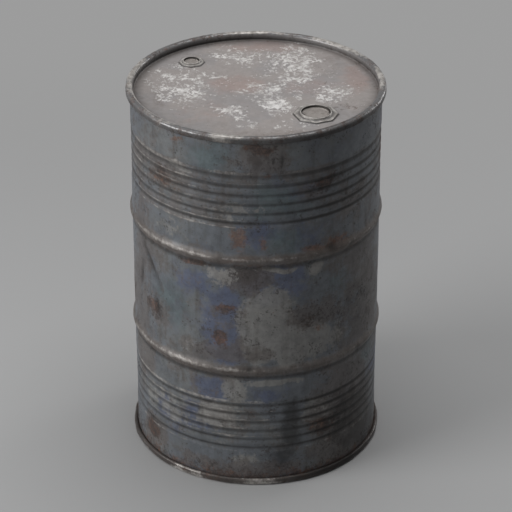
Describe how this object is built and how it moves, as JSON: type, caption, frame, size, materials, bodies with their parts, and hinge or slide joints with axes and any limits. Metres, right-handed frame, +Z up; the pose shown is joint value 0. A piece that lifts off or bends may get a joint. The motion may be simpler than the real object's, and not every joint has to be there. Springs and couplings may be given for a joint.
{
  "type": "steel drum",
  "caption": "Closed steel drum with rolled hoops and bead grooves, seamed chimes at both ends and threaded bungs in its recessed top, weathered paint over rust.",
  "frame": {"origin": "centre of the drum's foot, on the plane that its bottom chime stands on", "axes": "+Z up along the drum's axis; the large bung lies towards +X -Y and the small one towards -X +Y"},
  "size_m": [0.5918, 0.5918, 0.9],
  "materials": {
    "shell_paint": "weathered blue-grey paint over rusted sheet steel",
    "head_paint": "dusty, flaking grey paint with light rust",
    "foot_paint": "dull grey paint, rusted along its chime",
    "flange_steel": "dull pressed steel",
    "plug_steel": "dusty pressed steel",
    "gasket_rubber": "aged black rubber"
  },
  "bodies": {
    "drum": {"shell": "shell_paint", "top_head": "head_paint", "bottom_head": "foot_paint", "large_bung_flange": "flange_steel", "small_bung_flange": "flange_steel", "large_flange_gasket": "gasket_rubber", "small_flange_gasket": "gasket_rubber"},
    "large_gasket": {"large_plug_gasket": "gasket_rubber"},
    "large_plug": {"large_bung_plug": "plug_steel"},
    "small_gasket": {"small_plug_gasket": "gasket_rubber"},
    "small_plug": {"small_bung_plug": "plug_steel"}
  },
  "joints": [
    {"name": "large_plug_turn", "type": "hinge", "parent": "large_gasket", "child": "large_plug", "pos_m": [0.13325, -0.13325, 0.875], "axis": [0, 0, 1], "range_deg": [0, 2160]},
    {"name": "large_plug_lift", "type": "slide", "parent": "drum", "child": "large_gasket", "axis": [0, 0, 1], "range_m": [0, 0.0139]},
    {"name": "small_plug_turn", "type": "hinge", "parent": "small_gasket", "child": "small_plug", "pos_m": [-0.14952, 0.14952, 0.875], "axis": [0, 0, 1], "range_deg": [0, 2160]},
    {"name": "small_plug_lift", "type": "slide", "parent": "drum", "child": "small_gasket", "axis": [0, 0, 1], "range_m": [0, 0.0109]}
  ],
  "couplings": [
    {"joint": "large_plug_lift", "follows": "large_plug_turn", "m_per_rad": 0.00036749},
    {"joint": "small_plug_lift", "follows": "small_plug_turn", "m_per_rad": 0.00028871}
  ]
}
